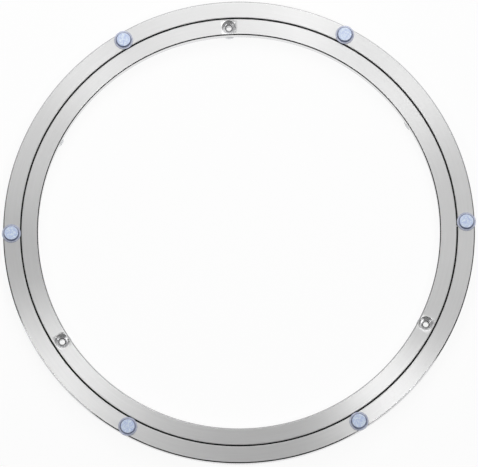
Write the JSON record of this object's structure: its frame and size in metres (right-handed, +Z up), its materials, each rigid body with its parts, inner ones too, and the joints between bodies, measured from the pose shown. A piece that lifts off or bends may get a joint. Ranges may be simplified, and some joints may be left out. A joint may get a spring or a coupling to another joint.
{
  "type": "lazy susan bearing",
  "caption": "Flat ring-shaped turntable bearing: an outer ring with clear pads turns on balls around a fixed inner ring with countersunk screw holes and clear feet.",
  "frame": {"origin": "on the axis of the rings, level with the undersides of the feet", "axes": "+Z up along the axis the outer ring turns about; +X to the right and +Y away from the viewer in the picture"},
  "size_m": [0.3012, 0.3, 0.0122],
  "materials": {
    "brushed_aluminium": "satin, brushed in circles about the axis",
    "black_nylon": "matt moulded nylon",
    "polished_steel": "polished bearing steel",
    "clear_bumper": "clear soft plastic with a faint blue tint"
  },
  "bodies": {
    "fixed_ring": {"inner_ring": "brushed_aluminium", "foot_1": "clear_bumper", "foot_2": "clear_bumper", "foot_3": "clear_bumper", "foot_4": "clear_bumper", "foot_5": "clear_bumper", "foot_6": "clear_bumper"},
    "turning_ring": {"outer_ring": "brushed_aluminium", "pad_1": "clear_bumper", "pad_2": "clear_bumper", "pad_3": "clear_bumper", "pad_4": "clear_bumper", "pad_5": "clear_bumper", "pad_6": "clear_bumper"},
    "ball_race": {"ball_strip": "black_nylon", "ball_1": "polished_steel", "ball_2": "polished_steel", "ball_3": "polished_steel", "ball_4": "polished_steel", "ball_5": "polished_steel", "ball_6": "polished_steel", "ball_7": "polished_steel", "ball_8": "polished_steel", "ball_9": "polished_steel", "ball_10": "polished_steel", "ball_11": "polished_steel", "ball_12": "polished_steel", "ball_13": "polished_steel", "ball_14": "polished_steel", "ball_15": "polished_steel", "ball_16": "polished_steel", "ball_17": "polished_steel", "ball_18": "polished_steel", "ball_19": "polished_steel", "ball_20": "polished_steel", "ball_21": "polished_steel", "ball_22": "polished_steel", "ball_23": "polished_steel", "ball_24": "polished_steel", "ball_25": "polished_steel", "ball_26": "polished_steel", "ball_27": "polished_steel", "ball_28": "polished_steel", "ball_29": "polished_steel", "ball_30": "polished_steel"}
  },
  "joints": [
    {"name": "ring_spin", "type": "hinge", "parent": "fixed_ring", "child": "turning_ring", "pos_m": [0, 0, 0.0061], "axis": [0, 0, 1], "continuous": true},
    {"name": "race_orbit", "type": "hinge", "parent": "fixed_ring", "child": "ball_race", "pos_m": [0, 0, 0.0061], "axis": [0, 0, 1], "continuous": true}
  ],
  "couplings": [
    {"joint": "race_orbit", "follows": "ring_spin", "ratio": 0.50631}
  ]
}
